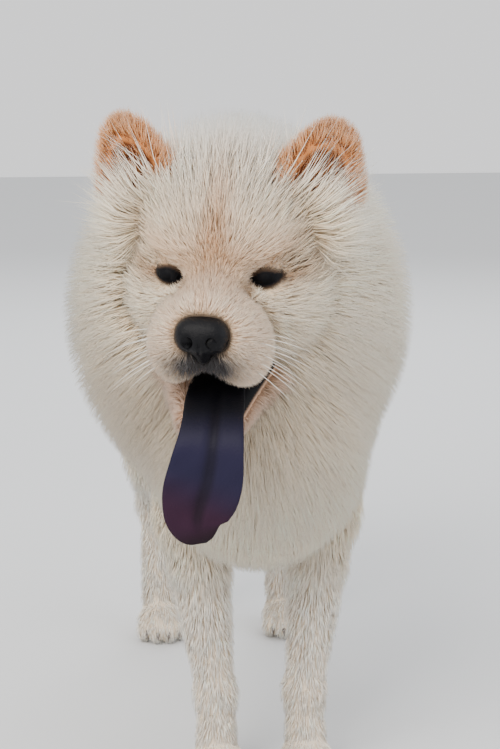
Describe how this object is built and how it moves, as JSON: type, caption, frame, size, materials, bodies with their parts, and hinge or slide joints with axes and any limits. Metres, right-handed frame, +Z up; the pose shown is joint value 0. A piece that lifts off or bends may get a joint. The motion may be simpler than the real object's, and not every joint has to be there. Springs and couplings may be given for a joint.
{
  "type": "chow chow dog",
  "caption": "Standing chow chow with a cream coat, a full ruff, small erect ears, an open mouth and a hanging blue-black tongue.",
  "frame": {"origin": "on the floor, under the centre of the whole dog's box", "axes": "+Z up, -Y the way the body faces, +X the dog's left side"},
  "size_m": [0.3378, 0.6696, 0.6237],
  "materials": {
    "coat": "long cream fur",
    "ear": "short apricot fur",
    "nose": "damp black nose leather",
    "tongue": "damp blue-black tongue",
    "eye": "wet dark brown eye"
  },
  "bodies": {
    "root": {"ear_left": "ear", "ear_right": "ear", "eye_left": "eye", "eye_right": "eye", "foreleg_left": "coat", "foreleg_right": "coat", "forepaw_left": "coat", "forepaw_right": "coat", "head": "coat", "hindleg_left": "coat", "hindleg_right": "coat", "hindpaw_left": "coat", "hindpaw_right": "coat", "jaw": "coat", "neck_ruff": "coat", "nose": "nose", "tail_base": "coat", "tail_plume": "coat", "tongue": "tongue", "torso": "coat"}
  },
  "joints": []
}
